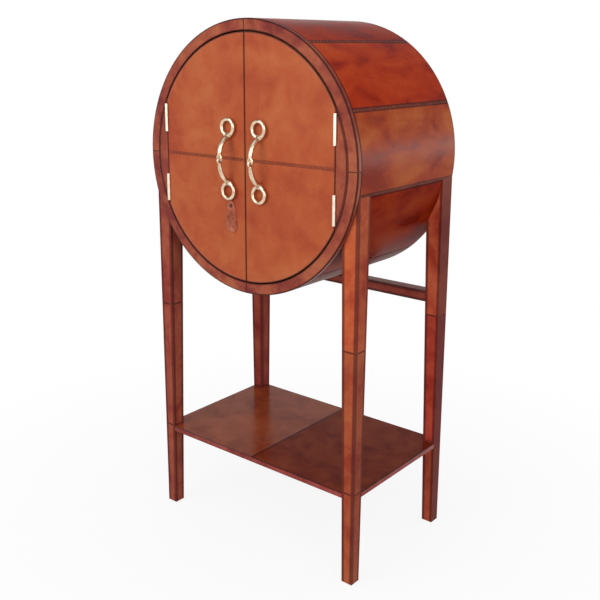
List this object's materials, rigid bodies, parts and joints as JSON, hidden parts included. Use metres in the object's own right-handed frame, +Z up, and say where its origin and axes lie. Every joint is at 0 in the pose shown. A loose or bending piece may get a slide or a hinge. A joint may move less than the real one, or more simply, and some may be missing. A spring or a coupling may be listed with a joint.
{
  "type": "bar cabinet",
  "caption": "Round drum bar cabinet clad in leather, with two half-round doors, snaffle-bit pulls and brass butt hinges, on four tapered leather legs with a low shelf",
  "frame": {"origin": "Centre of the bounding box's floor face: on the floor, midway across the cabinet and midway between the front of the pulls and the back", "axes": "+Z up, +X to the right seen from the front, +Y to the back; the doors face -Y"},
  "size_m": [0.66, 0.4652, 1.348],
  "materials": {
    "plywood": "satin lacquer",
    "hardwood": "satin lacquer",
    "drum_hide": "glossy",
    "ring_hide": "glossy",
    "door_hide": "glossy",
    "tab_hide": "satin",
    "leg_hide": "glossy",
    "shelf_hide": "satin",
    "brass": "polished",
    "steel": "plain",
    "dark_metal": "satin",
    "glide_plastic": "matte"
  },
  "bodies": {
    "carcass": {"drum_shell": "plywood", "drum_leather_left": "drum_hide", "drum_leather_right": "drum_hide", "drum_leather_underside": "drum_hide", "front_ring": "plywood", "ring_leather": "ring_hide", "back_panel": "plywood", "back_leather": "drum_hide", "crescent_left": "plywood", "crescent_right": "plywood", "crescent_leathers": "door_hide", "hinge_left_upper_frame_leaf": "brass", "hinge_left_lower_frame_leaf": "brass", "hinge_right_upper_frame_leaf": "brass", "hinge_right_lower_frame_leaf": "brass", "hinge_pins": "brass", "door_stops": "hardwood", "catch_magnets": "steel", "cabinet_floor": "plywood", "middle_shelf": "plywood", "shelf_battens": "hardwood", "leg_bolts": "steel", "leg_front_left": "hardwood", "leg_front_right": "hardwood", "leg_rear_left": "hardwood", "leg_rear_right": "hardwood", "leg_leather_front_left": "leg_hide", "leg_leather_front_right": "leg_hide", "leg_leather_rear_left": "leg_hide", "leg_leather_rear_right": "leg_hide", "foot_glides": "glide_plastic", "lower_shelf": "hardwood", "lower_shelf_leather_left": "shelf_hide", "lower_shelf_leather_right": "shelf_hide", "shelf_dowels": "hardwood", "rear_rail": "hardwood", "rear_rail_leather": "leg_hide"},
    "left_door": {"door_left_panel": "plywood", "door_left_leather_upper": "door_hide", "door_left_leather_lower": "door_hide", "door_left_catch_plates": "steel", "hinge_left_upper_door_leaf": "brass", "hinge_left_lower_door_leaf": "brass", "pull_left_upper_half": "brass", "pull_left_lower_half": "brass", "pull_left_screws": "steel", "tab_stud": "dark_metal", "lock_case": "steel"},
    "right_door": {"door_right_panel": "plywood", "door_right_leather_upper": "door_hide", "door_right_leather_lower": "door_hide", "door_right_catch_plates": "steel", "hinge_right_upper_door_leaf": "brass", "hinge_right_lower_door_leaf": "brass", "pull_right_upper_half": "brass", "pull_right_lower_half": "brass", "pull_right_screws": "steel", "strike_plate": "brass"},
    "tab": {"key_tab": "tab_hide"},
    "bolt": {"lock_bolt": "brass"}
  },
  "joints": [
    {"name": "left_door_hinge", "type": "hinge", "parent": "carcass", "child": "left_door", "pos_m": [-0.2677, -0.18935, 1.018], "axis": [0, 0, -1], "range_deg": [0, 170]},
    {"name": "right_door_hinge", "type": "hinge", "parent": "carcass", "child": "right_door", "pos_m": [0.2677, -0.18935, 1.018], "axis": [0, 0, 1], "range_deg": [0, 170]},
    {"name": "key_tab_stud", "type": "hinge", "parent": "left_door", "child": "tab", "pos_m": [-0.046, -0.18895, 0.904], "axis": [0, 1, 0], "range_deg": [-30, 85]},
    {"name": "lock_bolt_slide", "type": "slide", "parent": "left_door", "child": "bolt", "axis": [1, 0, 0], "range_m": [0, 0.008]}
  ]
}
